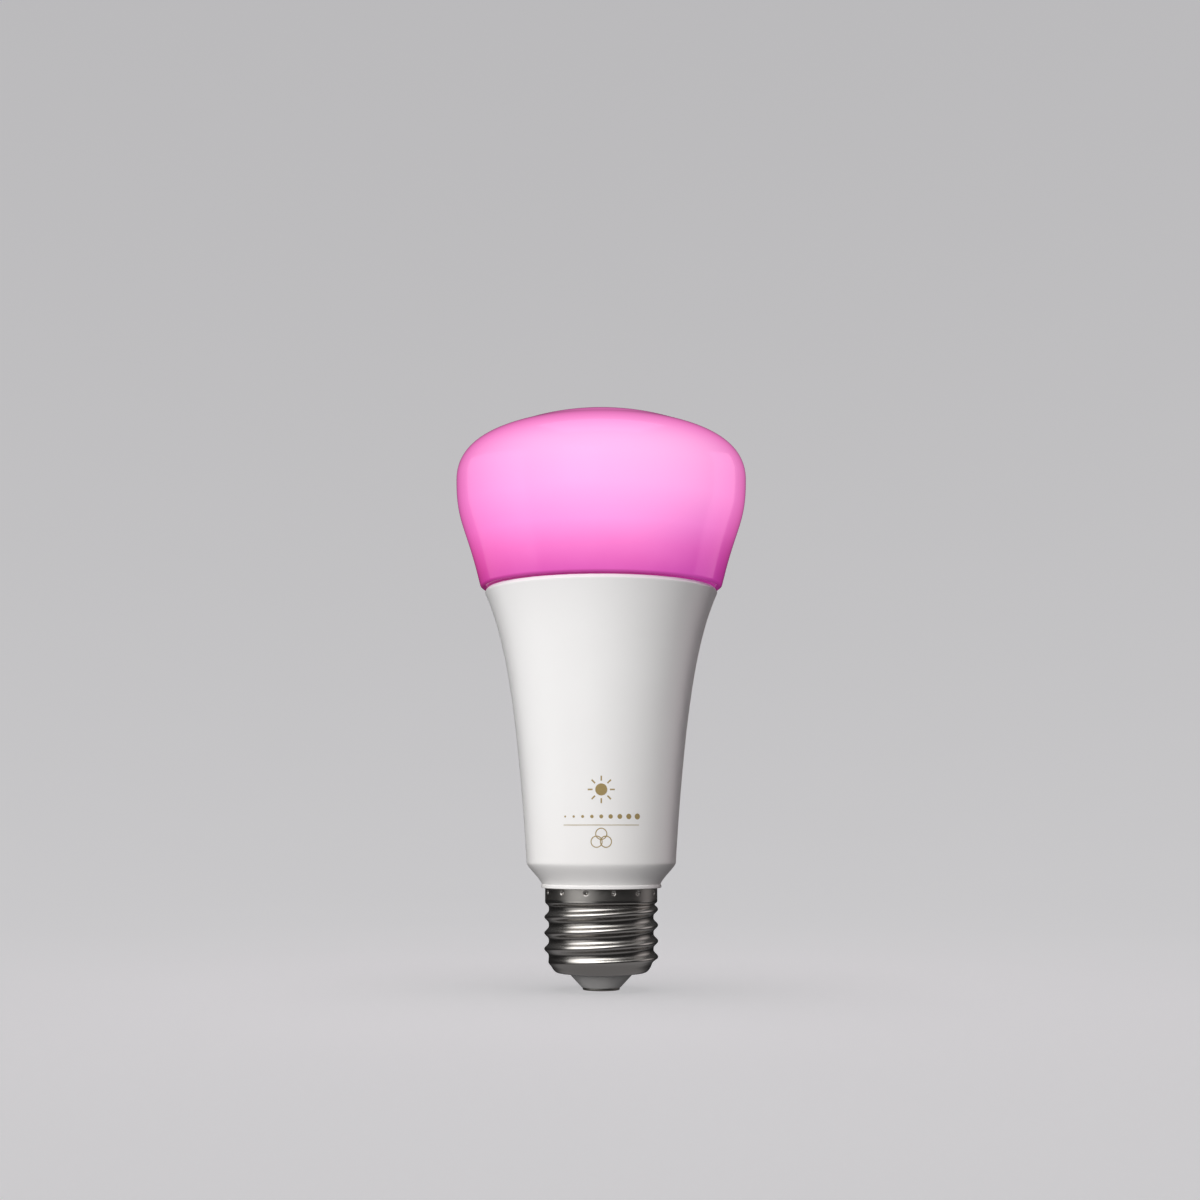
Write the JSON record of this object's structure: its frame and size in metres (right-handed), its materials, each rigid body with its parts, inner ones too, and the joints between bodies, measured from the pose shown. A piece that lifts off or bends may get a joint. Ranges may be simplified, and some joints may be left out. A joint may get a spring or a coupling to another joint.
{
  "type": "smart light bulb",
  "caption": "Colour-changing LED light bulb with a wide opal globe, a flared white housing, an Edison screw cap and its driver, radio and LED board inside.",
  "frame": {"origin": "centre of the flat end of the centre contact, at the bottom of the screw cap", "axes": "+Z along the bulb's axis from the cap to the globe's crown, +Y towards the radio board, +X across the driver board"},
  "size_m": [0.0692, 0.0692, 0.136],
  "materials": {
    "opal_globe": "glossy opal, lit from within",
    "silicone": "satin",
    "white_housing": "satin",
    "nickel_plate": "bright",
    "insulator_grey": "satin",
    "contact_metal": "nickel plated",
    "cast_aluminium": "satin",
    "pad_blue": "matte",
    "white_solder_mask": "satin",
    "white_film": "matte",
    "zinc_steel": "bright",
    "phosphor_warm": "matte",
    "phosphor_cool": "matte",
    "lens_red": "gloss",
    "lens_green": "gloss",
    "lens_blue": "gloss",
    "liner_plastic": "matte",
    "green_board": "satin",
    "dark_green_board": "satin",
    "black_moulding": "matte",
    "gold_pin": "bright",
    "sleeve_black": "gloss",
    "sleeve_green": "gloss",
    "film_yellow": "gloss",
    "varistor_blue": "dipped",
    "resistor_green": "matte",
    "copper_wire": "varnished copper",
    "ferrite": "matte",
    "winding_tape": "satin",
    "tinned_steel": "satin",
    "lead_brown": "satin",
    "lead_blue": "satin"
  },
  "bodies": {
    "root": {"globe": "opal_globe", "globe_seal": "silicone", "housing": "white_housing", "screw_shell": "nickel_plate", "cap_insulator": "insulator_grey", "centre_contact": "contact_metal", "heat_spreader": "cast_aluminium", "thermal_pad": "pad_blue", "led_board": "white_solder_mask", "reflector_sheet": "white_film", "board_screws": "zinc_steel", "warm_white_leds": "phosphor_warm", "cool_white_leds": "phosphor_cool", "red_leds": "lens_red", "green_leds": "lens_green", "blue_leds": "lens_blue", "driver_liner": "liner_plastic", "driver_board": "green_board", "link_header": "black_moulding", "link_pins": "gold_pin", "input_capacitor": "sleeve_black", "output_capacitor": "sleeve_green", "film_capacitor": "film_yellow", "surge_varistor": "varistor_blue", "fusible_resistor": "resistor_green", "filter_choke": "copper_wire", "bridge_rectifier": "black_moulding", "driver_chip": "black_moulding", "switching_transistor": "black_moulding", "output_diode": "black_moulding", "transformer_core": "ferrite", "transformer_bobbin": "black_moulding", "transformer_winding": "winding_tape", "radio_board": "dark_green_board", "radio_shield": "tinned_steel", "radio_header": "black_moulding", "antenna": "copper_wire", "live_lead": "lead_brown", "neutral_lead": "lead_blue"}
  },
  "joints": []
}
